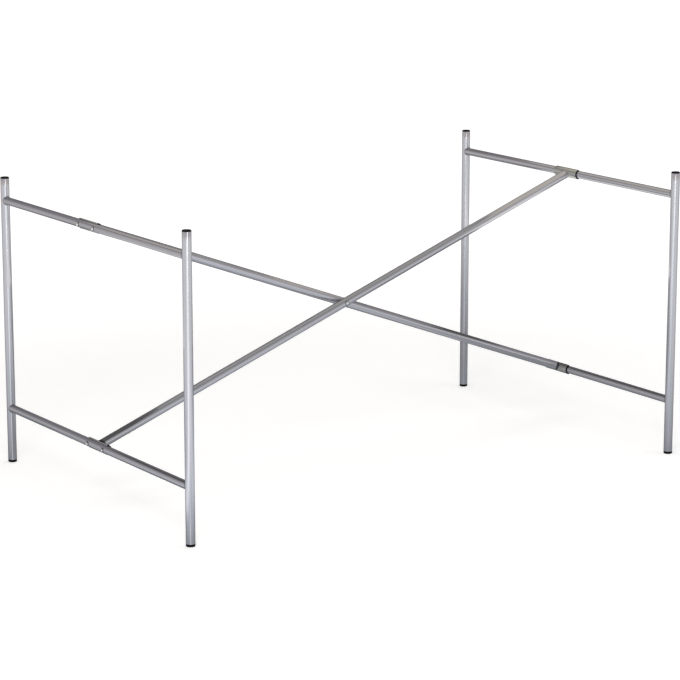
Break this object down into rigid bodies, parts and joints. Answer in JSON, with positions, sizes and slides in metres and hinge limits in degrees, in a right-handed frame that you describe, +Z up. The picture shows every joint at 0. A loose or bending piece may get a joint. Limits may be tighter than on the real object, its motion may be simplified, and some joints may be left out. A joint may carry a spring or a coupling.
{
  "type": "table frame",
  "caption": "Demountable table frame of round steel tube: welded end frames joined by crossed braces in screwed half-round saddles, with plastic caps and feet.",
  "frame": {"origin": "on the floor, at the centre of the footprint", "axes": "+X along the table's length towards the right end frame, +Y from front to back, +Z up"},
  "size_m": [1.31, 0.81, 0.66],
  "materials": {
    "tube_silver": "satin silver powder coat with a fine metallic grain",
    "saddle_bright": "bright plated steel",
    "screw_bright": "bright zinc plated steel",
    "plug_black": "moulded black polyethylene, matt"
  },
  "bodies": {
    "root": {"left_front_leg": "tube_silver", "left_front_cap": "plug_black", "left_front_foot": "plug_black", "left_back_leg": "tube_silver", "left_back_cap": "plug_black", "left_back_foot": "plug_black", "left_upper_rail": "tube_silver", "left_upper_saddle": "saddle_bright", "left_lower_rail": "tube_silver", "left_lower_saddle": "saddle_bright", "right_front_leg": "tube_silver", "right_front_cap": "plug_black", "right_front_foot": "plug_black", "right_back_leg": "tube_silver", "right_back_cap": "plug_black", "right_back_foot": "plug_black", "right_upper_rail": "tube_silver", "right_upper_saddle": "saddle_bright", "right_lower_rail": "tube_silver", "right_lower_saddle": "saddle_bright", "rear_brace": "tube_silver", "front_brace": "tube_silver", "crossing_bolt": "screw_bright", "crossing_nut": "screw_bright", "crossing_spacer": "screw_bright"}
  },
  "joints": []
}
